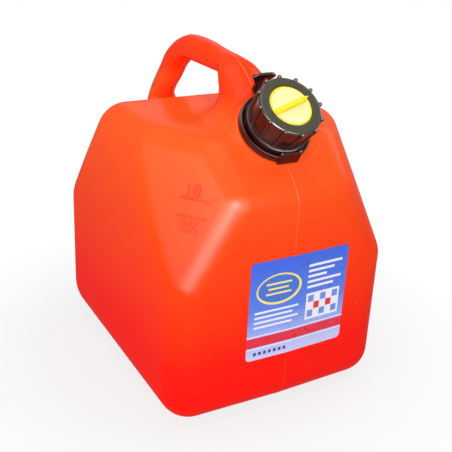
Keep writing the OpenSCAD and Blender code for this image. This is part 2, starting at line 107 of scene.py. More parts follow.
# Collar
COLLAR_R, COLLAR_TOP_R, COLLAR_ROUND, COLLAR_TOP, COLLAR_LOW = 25.3, 28.0, 2.0, 36.5, 3.0
COLLAR_HOLE_R, COLLAR_BORE_R, COLLAR_UNDER = 19.0, 22.9, 33.35
COLLAR_BEND = COLLAR_TOP - COLLAR_ROUND
RIB_COUNT, RIB_R, RIB_RISE = 12, 1.8, 1.0
RIB_PHASE, RIB_LEAN = radians(27), radians(7)
RATCHET_R, RATCHET_DEPTH, RATCHET_COUNT = 28.8, 1.0, 72
RATCHET_Z, RATCHET_T = 7.5, 4.0
RATCHET_TOP = RATCHET_Z + RATCHET_T
TOOTH_STEPS, TOOTH_LEAD = 12, 0.25

# Lock ring
RING_INNER_R, RING_R, RING_T, RING_H, RING_LOW = 30.3, 31.9, 1.6, 7.0, 0.3
RING_TOP, RING_FLOOR = RING_LOW + RING_H, RING_LOW + RING_T
SLOT_R, SLOT_L = 22.75, 1.5
BLOCK_HALF, BLOCK_FOOT_OUT, BLOCK_TOP_OUT, BLOCK_EDGE = 10.3, 33.3, 30.97, 0.35
BLOCK_H = 12.0
BLOCK_TOP = RING_LOW + BLOCK_H
PAWL_HALF, NUB_R, NUB_DOME = BLOCK_HALF * 0.4, 1.4, 1.2
PAD_HALF, PAD_ARM_HALF, PAD_H, PAD_CROWN, PAD_OUT, PAD_T = 11.5, 3.5, 22.5, 3.0, 40.0, 2.6
PAD_WAIST, PAD_CORNER = 0.32, 1.6

# Stopper
FACE_R, FACE_Z, RIM_W, DISH, FLANGE_R = 18.7, 36.2, 1.6, 0.7, 22.0
DISH_Z = FACE_Z - DISH
STOPPER_LOW, STOPPER_TOP = 30.65, 33.05
PLUG_R, PLUG_L, AXIS_R = 11.7, 6.0, 0.02
BAR_TURN = radians(16)
# Grip bar: place along it, half widths at foot and crest, and height of the crest
BAR_ROWS = ((-17.8, 2.4, 1.7, 37.9), (-17.2, 2.7, 2.0, 38.1), (-4, 2.7, 2.0, 38.85),
            (6, 2.6, 1.9, 39.4), (13, 2.5, 1.8, 39.8), (15, 1.9, 1.3, 39.95),
            (17.4, 0.7, 0.4, 40.05), (17.85, 0.3, 0.12, 39.7))

# Mould seam: place and height across it, spacing of its points, points in its fade, and the
# shortest run and chain of points that count
SEAM_SECTION = ((-0.65, -0.35), (-0.55, 0.0), (-0.3, 0.16), (0.0, 0.22),
                (0.3, 0.16), (0.55, 0.0), (0.65, -0.35))
SEAM_STEP, SEAM_FADE, SHORTEST_RUN, SHORTEST_CHAIN = 1.2, 5, 8, 30

# Level marks on the facet: middle and direction of the upper line, ends and height of each
# line, and place of each number
MARK_AT, MARK_ALONG = (-79.4, -103.9, 200.7), (0.553, -0.833, -0.015)
MARK_LINES = ((-13.2, 13.2, 0.0), (-12.8, 12.8, -14.4))
MARK_HALF, MARK_SINK, MARK_RISE = 0.8, 0.6, 1.1
MARK_NUMBERS = (("10", -11.6, 2.1), ("2½", -9.2, -27.3))
NUMBER_SIZE, NUMBER_SWELL, NUMBER_RISE, NUMBER_BEVEL = 14.5, 0.25, 0.9, 0.12

# Sides of the turned shapes, and angles from which edges are sharp or bevelled
TURNED_SIDES, RING_SIDES, RIB_SIDES, NUB_SIDES = 192, 288, 24, 32
SHARP, COLLAR_SHARP, MARK_SHARP, BEVEL_FROM = (radians(a) for a in (38, 50, 30, 25))


def from_neck(points):
    return np.asarray(points, float) @ NECK_TURN.T + NECK_AT


def to_neck(points):
    return (np.asarray(points, float) - NECK_AT) @ NECK_TURN


def circle(count):
    return TAU * np.arange(count) / count


def between(a, b, share):
    return a * (1 - share) + b * share


def fall(value, near, far):
    """One up to near, none from far on, smooth between."""
    t = np.clip((far - value) / (far - near), 0, 1)
    return t * t * (3 - 2 * t)


def put(name, data):
    """A new object in the scene."""
    obj = bpy.data.objects.new(name, data)
    bpy.context.scene.collection.objects.link(obj)
    return obj


def new_object(name, points, faces, smooth=True):
    """A mesh object from points in millimetres."""
    mesh = bpy.data.meshes.new(name)
    mesh.from_pydata([tuple(p) for p in np.asarray(points, float) * MM], [], faces)
    mesh.validate()
    mesh.update()
    if smooth:
        mesh.shade_smooth()
    return put(name, mesh)


def grid_faces(rows, cols, close_rows=True):
    """Quads over rows of points, each row closed."""
    faces = []
    for i in range(rows if close_rows else rows - 1):
        here, ahead = i * cols, (i + 1) % rows * cols
        for j in range(cols):
            k = (j + 1) % cols
            faces.append((here + j, here + k, ahead + k, ahead + j))
    return faces


def turn_outward(mesh):
    bm = bmesh.new()
    bm.from_mesh(mesh)
    bmesh.ops.recalc_face_normals(bm, faces=bm.faces)
    bm.to_mesh(mesh)
    bm.free()


def apply_modifiers(obj):
    """Gives the object its mesh with the modifiers applied."""
    graph = bpy.context.evaluated_depsgraph_get()
    mesh = bpy.data.meshes.new_from_object(obj.evaluated_get(graph))
    old = obj.data
    obj.modifiers.clear()
    obj.data = mesh
    mesh.name = obj.name
    bpy.data.meshes.remove(old)


# The tank's planes and corner balls
def plane_at(normal, point):
    normal = np.array(normal, float)
    return normal, float(normal @ np.array(point, float))


def meet(a, b, c, r):
    """Centre of the ball that touches three planes from inside."""
    return np.linalg.solve(np.array([a[0], b[0], c[0]]), np.array([a[1] - r, b[1] - r, c[1] - r]))


def tank_balls():
    """The balls whose hull is the tank, the tank's planes, and its left front facet."""
    half = BODY_W / 2
    left_end = np.array([-half, FRONT_Y + half * tan(FRONT_BOW), 0])
    left_tail = np.array([-half, REAR_Y - half * tan(REAR_BOW), 0])
    base = plane_at((0, 0, -1), (0, 0, 0))
    roof = plane_at((0, 0, 1), (0, 0, ROOF_Z))
    side = plane_at((-1, 0, 0), (-half, 0, 0))
    upper = plane_at((-cos(SIDE_LEAN), 0, sin(SIDE_LEAN)), (-half, 0, LEAN_Z))
    front = plane_at((-sin(FRONT_BOW), -cos(FRONT_BOW), 0), (0, FRONT_Y, 0))
    rear = plane_at((-sin(REAR_BOW), cos(REAR_BOW), 0), (0, REAR_Y, 0))
    shoulder = plane_at((0, -sin(SHOULDER_SLOPE), cos(SHOULDER_SLOPE)),
                        (0, FRONT_Y, SHOULDER_Z))
    rear_shoulder = plane_at((0, sin(REAR_SLOPE), cos(REAR_SLOPE)),
                             (0, REAR_Y - CREST_IN, ROOF_Z))
    flat, up = cos(FACET_TILT), sin(FACET_TILT)
    out, along = flat * cos(FACET_TURN), flat * sin(FACET_TURN)
    front_facet = plane_at((-out, -along, up), left_end + np.array([0, 0, FACET_FRONT_Z]))
    rear_facet = plane_at((-out, along, up), left_tail + np.array([0, 0, FACET_REAR_Z]))
    middle = (np.array([1.0, 0, 0]), EDGE_R)
    corners = [(base, front, side, EDGE_R), (base, rear, side, REAR_R),
               (front, side, front_facet, EDGE_R), (rear, side, rear_facet, REAR_R),
               (side, upper, front_facet, EDGE_R), (side, upper, rear_facet, EDGE_R),
               (upper, roof, front_facet, EDGE_R), (upper, roof, rear_facet, EDGE_R),
               (roof, shoulder, front_facet, EDGE_R), (roof, rear_shoulder, rear_facet, EDGE_R),
               (front, shoulder, front_facet, EDGE_R), (rear, rear_shoulder, rear_facet, EDGE_R)]
    balls = []
    for a, b, c, r in corners:
        at = meet(a, b, c, r)
        balls += [(at, r), (at * [-1, 1, 1], r)]
    for a, b in ((base, front), (front, shoulder), (base, rear), (rear, rear_shoulder)):
        balls.append((meet(a, b, middle, EDGE_R), EDGE_R))
    planes = [base, roof, side, upper, front, rear, shoulder, rear_shoulder,
              front_facet, rear_facet]
    planes += [(n * np.array([-1, 1, 1]), d) for n, d in planes]
    return balls, planes, front_facet


def sphere_points(count):
    """Points spread evenly over a unit sphere."""
    i = np.arange(count) + 0.5
    polar = np.arccos(1 - 2 * i / count)
    turn = pi * (1 + 5 ** 0.5) * i
    return np.stack([np.cos(turn) * np.sin(polar), np.sin(turn) * np.sin(polar), np.cos(polar)],
                    axis=1)


# The handle
def handle_stations():
    """Rows of outer point, inner point, half width at each and squareness."""
    grip_half, head_half, pillar_half = GRIP_W / 2, PILLAR_HEAD_W / 2, PILLAR_W / 2
    rows = []
    for share in (0, 0.25, 0.5, 0.75, 1):
        y = between(NECK_AT[1], PILLAR_HEAD_Y, share)
        front = NECK_AT[2] + (y - NECK_AT[1]) * tan(PILLAR_SLOPE) - PILLAR_SINK
        flare = (1 - share) ** PILLAR_FLARE
        halves = [between(half, pillar_half, flare) for half in (head_half, grip_half)]
        rows.append([y, front, HOLE_Y, between(PILLAR_FOOT_Z, PILLAR_HEAD_Z, share), *halves])
    for before, drop, behind, low, share in BEND_ROWS:
        rows.append([GRIP_Y0 - before, GRIP_TOP_Z - drop, HOLE_Y + behind, GRIP_LOW_Z - low,
                     between(grip_half, head_half, share), grip_half])
    for outer_y, drop, inner_y in GRIP_ROWS:
        rows.append([outer_y, GRIP_TOP_Z - drop, inner_y, GRIP_LOW_Z, grip_half, grip_half])
    for outer_in, outer_drop, inner_in, inner_drop, share in LEG_ROWS:
        half = between(grip_half, LEG_W / 2, share)
        rows.append([REAR_Y - outer_in, GRIP_TOP_Z - outer_drop,
                     REAR_Y - inner_in, GRIP_LOW_Z - inner_drop, half, half])
    return np.array([[*row, HANDLE_SQUARE] for row in rows])


def smooth_rows(rows, steps):
    """A smooth curve through the rows."""
    out = []
    last = len(rows) - 1
    for i in range(last):
        a, b, c, d = rows[max(0, i - 1)], rows[i], rows[i + 1], rows[min(last, i + 2)]
        for k in range(steps):
            t = k / steps
            out.append(b + (c - a) * t / 2 + (2 * a - 5 * b + 4 * c - d) * t * t / 2
                       + (3 * b - a - 3 * c + d) * t ** 3 / 2)
    return np.array(out + [rows[last]])


def handle_rings():
    """Rings of points round the handle, from the pillar's foot to the leg's."""
    turn = circle(HANDLE_SIDES)
    rings = []
    for row in smooth_rows(handle_stations(), HANDLE_STEPS):
        outer_y, outer_z, inner_y, inner_z, outer_half, inner_half, square = row
        outer, inner = np.array([0, outer_y, outer_z]), np.array([0, inner_y, inner_z])
        half = np.linalg.norm(outer - inner) / 2
        u = (outer - inner) / (2 * half)
        power = 2 / square
        across = np.sign(np.cos(turn)) * np.abs(np.cos(turn)) ** power
        up = np.sign(np.sin(turn)) * np.abs(np.sin(turn)) ** power
        width = between(inner_half, outer_half, (1 + np.sin(turn)) / 2)
        rings.append((outer + inner) / 2 + np.outer(width * across, [1, 0, 0])
                     + np.outer(half * up, u))
    return np.array(rings)


# The skin of tank and handle
def relax(points, edges, weight, rounds=1):
    """Moves each point towards the middle of its neighbours, by its weight."""
    count = len(points)
    a, b = edges[:, 0], edges[:, 1]
    degree = np.bincount(a, minlength=count) + np.bincount(b, minlength=count)
    degree = np.maximum(degree, 1)
    for _ in range(rounds):
        middle = np.empty_like(points)
        for k in range(3):
            middle[:, k] = np.bincount(a, points[b, k], count) + np.bincount(b, points[a, k], count)
        middle /= degree[:, None]
        points = points + weight[:, None] * (middle - points)
    return points


def hull_with_handle(balls, rings):
    """The hull of the tank's balls, with the handle's closed tube through it."""
    unit = sphere_points(BALL_POINTS)
    cloud = np.concatenate([at + unit * r for at, r in balls])
    bm = bmesh.new()
    for p in cloud * MM:
        bm.verts.new(p)
    result = bmesh.ops.convex_hull(bm, input=bm.verts, use_existing_faces=False)
    inside = {v for v in result["geom_interior"] if isinstance(v, bmesh.types.BMVert)}
    inside |= {v for v in bm.verts if not v.link_faces}
    bmesh.ops.delete(bm, geom=list(inside), context="VERTS")
    tube = [[bm.verts.new(p) for p in ring * MM] for ring in rings]
    for here, ahead in zip(tube, tube[1:]):
        for j in range(HANDLE_SIDES):
            k = (j + 1) % HANDLE_SIDES
            bm.faces.new((here[j], ahead[j], ahead[k], here[k]))
    bm.faces.new(tube[0])
    bm.faces.new(list(reversed(tube[-1])))
    bmesh.ops.recalc_face_normals(bm, faces=bm.faces)
    return bm


def blend_weight(points, rings, planes):
    """How freely each point moves to blend the handle into the tank, more so at the pillar."""
    handle_from_z, far_away = 170, 99.0
    pillar_to_y, pillar_reach, leg_reach = 20, 30.0, 9.0
    surface = rings.reshape(-1, 3)
    tree = kdtree.KDTree(len(surface))
    for i, p in enumerate(surface):
        tree.insert(p, i)
    tree.balance()
    above = np.max(np.stack([points @ n - d for n, d in planes]), axis=0)
    near = np.full(len(points), far_away)
    close = points[:, 2] > handle_from_z
    near[close] = [tree.find(p)[2] for p in points[close]]
    apart = np.maximum(np.maximum(above, 0), near)
    reach = np.where(points[:, 1] < pillar_to_y, pillar_reach, leg_reach)
    return 0.5 * fall(apart, 0.25 * reach, reach)


def level_seat(points):
    """The points with the flat round seat of the lock ring, and room for its pad."""
    flat_r, edge_r, depth, seat_z = 33.0, 39.0, 14, -0.05
    pad_half, pad_reach, pad_z = 13, 46, -0.1
    local = to_neck(points)
    radius = np.hypot(local[:, 0], local[:, 1])
    seat = fall(radius, flat_r, edge_r) * (np.abs(local[:, 2]) < depth)
    local[:, 2] = between(local[:, 2], seat_z, seat)
    under = (np.abs(local[:, 0]) < pad_half) & (local[:, 1] > 0) & (local[:, 1] < pad_reach)
    under &= local[:, 2] < depth
    local[under, 2] = np.minimum(local[under, 2], pad_z)
    return from_neck(local)


def cut_neck_hole(mesh):
    """Opens the skin under the neck."""
    hole_r, depth = 19.5, 4
    bm = bmesh.new()
    bm.from_mesh(mesh)
    hole = []
    for f in bm.faces:
        x, y, z = to_neck(np.array(f.calc_center_median()) / MM)
        if hypot(x, y) < hole_r and abs(z) < depth:
            hole.append(f)
    bmesh.ops.delete(bm, geom=hole, context="FACES")
    bm.to_mesh(mesh)
    bm.free()


def make_tank():
    """The blown tank with its handle, one smooth skin, and the plane of its left front facet."""
    balls, planes, facet = tank_balls()
    rings = handle_rings()
    bm = hull_with_handle(balls, rings)
    mesh = bpy.data.meshes.new("tank_skin")
    bm.to_mesh(mesh)
    bm.free()
    obj = put("tank_skin", mesh)
    remesh = obj.modifiers.new("remesh", "REMESH")
    remesh.mode = "VOXEL"
    remesh.voxel_size = SKIN_VOXEL
    apply_modifiers(obj)
    mesh = obj.data
    points = np.zeros(len(mesh.vertices) * 3)
    mesh.vertices.foreach_get("co", points)
    points = points.reshape(-1, 3) / MM
    edges = np.zeros(len(mesh.edges) * 2, int)
    mesh.edges.foreach_get("vertices", edges)
    edges = edges.reshape(-1, 2)
    # Even out the steps of the remesh without shrinking the form
    full = np.ones(len(points))
    for _ in range(EVEN_ROUNDS):
        points = relax(points, edges, EVEN_IN * full)
        points = relax(points, edges, EVEN_OUT * full)
    points = relax(points, edges, blend_weight(points, rings, planes), BLEND_ROUNDS)
    points = np.clip(level_seat(points), CAD_LOW, CAD_HIGH)
    mesh.vertices.foreach_set("co", (points * MM).ravel())
    mesh.update()
    cut_neck_hole(mesh)
    mesh.shade_smooth()
    return obj, facet


# Small moulded parts, in the neck frame. The small steps in their sections round the edges.
def rounded(path, radius):
    """A closed path with its corners rounded off."""
    steps = 3
    path = [np.array(p, float) for p in path]
    out = []
    for i, p in enumerate(path):
        a, b = path[i - 1] - p, path[(i + 1) % len(path)] - p
        reach_a, reach_b = np.linalg.norm(a), np.linalg.norm(b)
        take = min(radius, 0.45 * reach_a, 0.45 * reach_b)
        start, end = p + a / reach_a * take, p + b / reach_b * take
        for k in range(steps + 1):
            t = k / steps
            out.append(start * (1 - t) ** 2 + p * 2 * t * (1 - t) + end * t * t)
    return np.array(out)


def on_circle(r, a, z):
    return r * cos(a), r * sin(a), z


def round_rows(count, path):
    return [(np.full(count, r), z) for r, z in path]


def revolve(rows, count):
    """Points and faces of closed rows round the neck axis, each of radii and a height."""
    turn = circle(count)
    points = [(r * c, r * s, z) for radii, z in rows
              for r, c, s in zip(radii, np.cos(turn), np.sin(turn))]
    return points, grid_faces(len(rows), count)


def loft(sections):
    """Points and faces through closed sections, capped at both ends."""
    rows, cols = len(sections), len(sections[0])
    faces = grid_faces(rows, cols, close_rows=False)
    faces.append(tuple(reversed(range(cols))))
    faces.append(tuple((rows - 1) * cols + k for k in range(cols)))
    return [tuple(p) for s in sections for p in s], faces


def join(parts):
    points, faces = [], []
    for p, f in parts:
        start = len(points)
        points += [tuple(q) for q in p]
        faces += [tuple(start + i for i in face) for face in f]
    return points, faces


def moulded(name, parts, sharp=SHARP):
    """An object from points and faces in the neck frame, with outward faces."""
    points, faces = join(parts)
    obj = new_object(name, from_neck(points), faces)
    turn_outward(obj.data)
    obj.data.set_sharp_from_angle(angle=sharp)
    return obj


def bevelled(points, faces, offset):
    """The same solid with its edges rounded."""
    mesh = bpy.data.meshes.new("shape")
    mesh.from_pydata(points, [], faces)
    bm = bmesh.new()
    bm.from_mesh(mesh)
    bpy.data.meshes.remove(mesh)
    bmesh.ops.recalc_face_normals(bm, faces=bm.faces)
    edges = [e for e in bm.edges if e.calc_face_angle(0) > BEVEL_FROM]
    bmesh.ops.bevel(bm, geom=edges, offset=offset, segments=3, profile=0.5, affect="EDGES",
                    clamp_overlap=True)
    bm.verts.index_update()
    out = [tuple(v.co) for v in bm.verts], [tuple(v.index for v in f.verts) for f in bm.faces]
    bm.free()
    return out


def bar(low, high, offset):
    """A box with rounded edges between two corners."""
    (a, b, c), (d, e, f) = low, high
    points = [(a, b, c), (d, b, c), (d, e, c), (a, e, c),
              (a, b, f), (d, b, f), (d, e, f), (a, e, f)]
    faces = [(0, 3, 2, 1), (4, 5, 6, 7), (0, 1, 5, 4), (1, 2, 6, 5), (2, 3, 7, 6), (3, 0, 4, 7)]
    return bevelled(points, faces, offset)


def neck_radius(z, a):
    """Radius of the neck's outside at a height and a turn, with its thread."""
    r = LAND_R if z <= LAND_H else NECK_R
    for lap in range(ceil(THREAD_TURNS)):
        along = a / TAU + lap
        if along > THREAD_TURNS:
            continue
        fade = min(1.0, THREAD_FADE * along, THREAD_FADE * (THREAD_TURNS - along))
        off = abs(z - THREAD_Z - THREAD_PITCH * along)
        share = np.clip((THREAD_HALF - off) / THREAD_FLANK, 0, 1)
        r = max(r, NECK_R + (THREAD_R - NECK_R) * fade * share)
    return r


def make_neck():
    """The threaded neck of the tank."""
    turn = circle(TURNED_SIDES)
    heights = np.concatenate([[-NECK_SINK], np.linspace(0.0, LAND_H, 4),
                              np.linspace(LAND_H + 0.3, NECK_L - 0.8, 76)])
    lip = ((NECK_R - 0.15, NECK_L - 0.25), (NECK_R - 0.7, NECK_L), (BORE_R + 0.7, NECK_L),
           (BORE_R + 0.15, NECK_L - 0.25), (BORE_R, NECK_L - 0.8))
    points = [on_circle(BORE_R, a, -NECK_SINK) for a in turn]
    points += [on_circle(neck_radius(z, a), a, z) for z in heights for a in turn]
    points += [on_circle(r, a, z) for r, z in lip for a in turn]
    faces = grid_faces(len(points) // TURNED_SIDES, TURNED_SIDES)
    return moulded("tank_neck", [(points, faces)])


def collar_wall(z):
    """Radius of the leaning wall at a height."""
    share = (z - RATCHET_Z - RATCHET_T) / (COLLAR_BEND - RATCHET_Z - RATCHET_T)
    return float(COLLAR_R + (COLLAR_TOP_R - COLLAR_R) * np.clip(share, 0, 1))


def rib(turn):
    """A grip rib: a leaning rod with a domed end, from inside the ratchet to the collar's top."""
    foot = RATCHET_TOP - 0.3
    length = (COLLAR_TOP + RIB_RISE - foot) / cos(RIB_LEAN)
    path = [(0.0, RIB_R), (length / 2, RIB_R)]
    path += [(length - RIB_R * (1 - sin(a)), RIB_R * cos(a))
             for a in np.linspace(0, 1.5, 9)]
    out = np.array([cos(turn), sin(turn), 0])
    side = np.array([-sin(turn), cos(turn), 0])
    up = np.array([0, 0, 1.0])
    axis = up * cos(RIB_LEAN) + out * sin(RIB_LEAN)
    cross = out * cos(RIB_LEAN) - up * sin(RIB_LEAN)
    start = out * COLLAR_R + up * foot
    return loft([[start + axis * along + r * (cross * cos(a) + side * sin(a))
                  for a in circle(RIB_SIDES)] for along, r in path])


def make_collar():
    """The screw collar: ratchet, leaning wall with domed ribs and a rounded upper edge."""
    count = RATCHET_COUNT * TOOTH_STEPS
    phase = (np.arange(count) % TOOTH_STEPS) / TOOTH_STEPS
    notch = np.where(phase < TOOTH_LEAD, phase / TOOTH_LEAD, (1 - phase) / (1 - TOOTH_LEAD))
    teeth = RATCHET_R - RATCHET_DEPTH * notch
    low, top, hole, bore = COLLAR_LOW, RATCHET_TOP, COLLAR_HOLE_R, COLLAR_BORE_R
    rows = round_rows(count, (
        (bore + 0.5, low), (COLLAR_R - 0.5, low), (COLLAR_R - 0.1, low + 0.15),
        (COLLAR_R, low + 0.6), (COLLAR_R, RATCHET_Z - 0.15), (COLLAR_R + 0.15, RATCHET_Z)))
    rows += [(teeth - 0.25, RATCHET_Z), (teeth, RATCHET_Z + 0.25), (teeth, top - 0.3),
             (teeth - 0.3, top)]
    # A ramp leads from the ratchet up to the wall
    climb = ((26.0, top + 0.05), (25.85, top + 0.5), (25.65, top + 1.3), (25.6, top + 2.4))
    rows += round_rows(count, [(max(r, collar_wall(z)), z) for r, z in climb])
    rows += round_rows(count, [(collar_wall(z), z) for z in np.linspace(top + 3.6, COLLAR_BEND, 6)])
    rows += round_rows(count, [(COLLAR_TOP_R - COLLAR_ROUND + COLLAR_ROUND * cos(a),
                                COLLAR_BEND + COLLAR_ROUND * sin(a))
                               for a in pi / 2 * np.arange(1, 9) / 8])
    # The top face, the hole and the bore
    rows += round_rows(count, (
        (24.2, COLLAR_TOP), (21.6, COLLAR_TOP), (20.4, COLLAR_TOP - 0.02),
        (hole + 0.55, COLLAR_TOP - 0.05), (hole + 0.16, COLLAR_TOP - 0.16),
        (hole, COLLAR_TOP - 0.55), (hole, COLLAR_UNDER), (bore - 0.4, COLLAR_UNDER),
        (bore, COLLAR_UNDER - 0.4), (bore, low + 0.5)))
    ribs = [rib(RIB_PHASE + TAU * k / RIB_COUNT) for k in range(RIB_COUNT)]
    return moulded("collar_skin", [revolve(rows, count), *ribs], COLLAR_SHARP)


def slot_radius(a):
    """Distance from the neck axis to the edge of the ring's slot."""
    c, s = abs(cos(a)), sin(a)
    if s <= 0:
        return SLOT_R
    if c > 1e-9 and SLOT_R / c * s <= SLOT_L:
        return SLOT_R / c
    return SLOT_L * s + sqrt((SLOT_L * s) ** 2 - SLOT_L ** 2 + SLOT_R ** 2)


def ring_wall():
    """The slotted floor and the round wall of the lock ring."""
    low, high, floor, inner, outer = RING_LOW, RING_TOP, RING_FLOOR, RING_INNER_R, RING_R
    slot = np.array([slot_radius(a) for a in circle(RING_SIDES)])
    rows = [(slot, low + 0.25), (slot, floor - 0.25), (slot + 0.25, floor)]
    rows += round_rows(RING_SIDES, (
        (29.6, floor), (30.1, floor + 0.15), (inner, floor + 0.6), (inner, high - 0.5),
        (inner + 0.12, high - 0.15), (inner + 0.45, high), (outer - 0.45, high),
        (outer - 0.12, high - 0.15), (outer, high - 0.5), (outer, low + 0.5),
        (outer - 0.15, low + 0.12), (outer - 0.5, low)))
    rows.append((slot + 0.25, low))
    return revolve(rows, RING_SIDES)


def ring_block():
    end = BLOCK_HALF - BLOCK_EDGE
    sections = []
    for x in np.concatenate([[-BLOCK_HALF], np.linspace(-end, end, 13), [BLOCK_HALF]]):
        take = BLOCK_EDGE if abs(x) == BLOCK_HALF else 0.0
        inner = -sqrt(RING_INNER_R ** 2 - x * x) - take
        low, high = RING_LOW + take, BLOCK_TOP - take
        path = rounded([(take - BLOCK_FOOT_OUT, low), (inner, low), (inner, high),
                        (take - BLOCK_TOP_OUT, high)], 0.7)
        sections.append([(x, y, z) for y, z in path])
    return loft(sections)


def ring_pawl():
    """The tooth of the block, close to the ratchet."""
    low, high = RATCHET_Z, BLOCK_TOP - 0.1
    sections = []
    for x in np.linspace(-PAWL_HALF, PAWL_HALF, 7):
        root = -sqrt((RING_INNER_R + 0.3) ** 2 - x * x)
        tip = -sqrt((RATCHET_R + 0.6) ** 2 - x * x)
        path = rounded([(root, low), (tip, low), (tip, high), (root, high)], 0.5)
        sections.append([(x, y, z) for y, z in path])
    return loft(sections)


def ring_nub(side):
    """The domed pin at one end of the block."""
    x, y = side * (BLOCK_HALF - NUB_R), NUB_R - BLOCK_TOP_OUT
    bend = BLOCK_TOP + 0.5 * NUB_R - NUB_DOME
    path = [(NUB_R, BLOCK_TOP - 2 * NUB_R), (NUB_R, bend)]
    path += [(NUB_R - NUB_DOME * (1 - cos(a)), bend + NUB_DOME * sin(a))
             for a in np.linspace(0.2, 1.5, 8)]
    return loft([[(x + r * cos(a), y + r * sin(a), z) for a in circle(NUB_SIDES)]
                 for r, z in path])


def ring_pad():
    """The thumb pad, with a crowned upper edge and a waist at its arm."""
    waist, side = RING_LOW + PAD_H * PAD_WAIST, RING_LOW + PAD_H - PAD_CROWN
    outline = [(-PAD_ARM_HALF, waist), (-PAD_ARM_HALF, RING_LOW), (PAD_ARM_HALF, RING_LOW),
               (PAD_ARM_HALF, waist)]
    outline += [(x, side + PAD_CROWN * (1 - (x / PAD_HALF) ** 6))
                for x in PAD_HALF * (1 - np.linspace(0, 2, 33))]
    outline = rounded(outline, PAD_CORNER)
    n = len(outline)
    points = [(x, y, z) for y in (PAD_OUT, PAD_OUT + PAD_T) for x, z in outline]
    faces = [tuple(range(n)), tuple(reversed(range(n, 2 * n)))]
    faces += [(k, (k + 1) % n, n + (k + 1) % n, n + k) for k in range(n)]
    return bevelled(points, faces, 0.45)


def make_ring():
    """The lock ring: wall, slotted floor, front block with two nubs, pawl, arm and thumb pad."""
    root, web_half = RING_INNER_R + 0.4, RING_T / 2
    arm = bar((-PAD_ARM_HALF, root, RING_LOW),
              (PAD_ARM_HALF, PAD_OUT + PAD_T - 0.2, RING_FLOOR), 0.4)
    web = bar((-web_half, root, RING_LOW + 0.3), (web_half, PAD_OUT + PAD_T / 2, RING_TOP), 0.5)
    return moulded("lock_skin", [ring_wall(), ring_block(), ring_pawl(), ring_nub(-1), ring_nub(1),
                                 arm, web, ring_pad()])


def make_stopper():
    """The disc that closes the collar, with its rim, dish, plug and pointed grip bar."""
    inner, plug_z = FACE_R - RIM_W, STOPPER_LOW - PLUG_L
    path = ((AXIS_R, DISH_Z), (6, DISH_Z), (11, DISH_Z), (inner - 0.9, DISH_Z),
            (inner - 0.35, DISH_Z + 0.08), (inner - 0.1, DISH_Z + 0.3),
            (inner + 0.05, FACE_Z - 0.12), (inner + 0.3, FACE_Z), (FACE_R - 0.5, FACE_Z),
            (FACE_R - 0.14, FACE_Z - 0.14), (FACE_R, FACE_Z - 0.5), (FACE_R, STOPPER_TOP),
            (FLANGE_R - 0.3, STOPPER_TOP), (FLANGE_R, STOPPER_TOP - 0.3),
            (FLANGE_R, STOPPER_LOW + 0.3), (FLANGE_R - 0.3, STOPPER_LOW), (PLUG_R, STOPPER_LOW),
            (PLUG_R, plug_z + 0.5), (PLUG_R - 0.4, plug_z), (AXIS_R, plug_z))
    turn = circle(TURNED_SIDES)
    disc = [on_circle(r, a, z) for r, z in path for a in turn], grid_faces(len(path), TURNED_SIDES)
    c, s = cos(BAR_TURN), sin(BAR_TURN)
    foot_z = DISH_Z - 0.3
    sections = []
    for along, foot, crest, z in BAR_ROWS:
        path = rounded([(-foot, foot_z), (foot, foot_z), (crest, z), (-crest, z)], 0.45)
        sections.append([(along * c - v * s, along * s + v * c, w) for v, w in path])
    return moulded("stopper_skin", [disc, loft(sections)])


# Fine relief on the tank
def middle_chains(tank):
    """Points and normals of each line where the middle plane cuts the tank, and if it closes."""
    bm = bmesh.new()
    bm.from_mesh(tank.data)
    bm.normal_update()
    cut = bmesh.ops.bisect_plane(bm, geom=bm.verts[:] + bm.edges[:] + bm.faces[:], dist=1e-7,
                                 plane_co=(0, 0, 0), plane_no=(1, 0, 0))
    bm.normal_update()
    links = {}
    for e in cut["geom_cut"]:
        if isinstance(e, bmesh.types.BMEdge):
            v, w = e.verts
            links.setdefault(v, []).append(w)
            links.setdefault(w, []).append(v)
    left = set(links)
    chains = []
    while left:
        ends = [v for v in left if len(links[v]) == 1]
        ahead = [min(ends or left, key=lambda v: v.index)]
        chain = []
        while ahead:
            chain.append(ahead[0])
            left.discard(ahead[0])
            ahead = [w for w in links[chain[-1]] if w in left]
        closed = len(chain) > 2 and chain[0] in links[chain[-1]]
        points = np.array([v.co for v in chain]) / MM
        chains.append((points, np.array([v.normal for v in chain]), closed))
    bm.free()
    return chains


def seam_shows(line):
    """Which points of a line are clear of the lock ring, its pad, the label and the floor."""
    seat_r, seat_depth, foot_z = 34, 12, 3
    label_y, label_low, label_high = FRONT_Y + 6, LABEL_Z - 2, LABEL_Z + LABEL_H + 2
    pad_half, pad_reach, pad_low, pad_high = 13, 45, -8, 5
    x, y, z = to_neck(line).T
    shows = ~((np.hypot(x, y) < seat_r) & (np.abs(z) < seat_depth)) & (line[:, 2] > foot_z)
    shows &= ~((line[:, 1] < label_y) & (line[:, 2] > label_low) & (line[:, 2] < label_high))
    shows &= ~((np.abs(x) < pad_half) & (y > 0) & (y < pad_reach) & (z < pad_high) & (z > pad_low))
    return shows


def seam_run(line, out):
    """A low ridge along a line, fading at both ends."""
    last = len(line) - 1
    sections = []
    for k in range(len(line)):
        fade = min(1.0, k / SEAM_FADE, (last - k) / SEAM_FADE)
        section = []
        for x, h in SEAM_SECTION:
            rise = h * fade if h > 0 else h - 0.1 * (1 - fade)
            at = line[k] + np.array([x, 0, 0]) + out[k] * rise
            section.append(np.clip(at, CAD_LOW, CAD_HIGH))
        sections.append(section)
    return loft(sections)


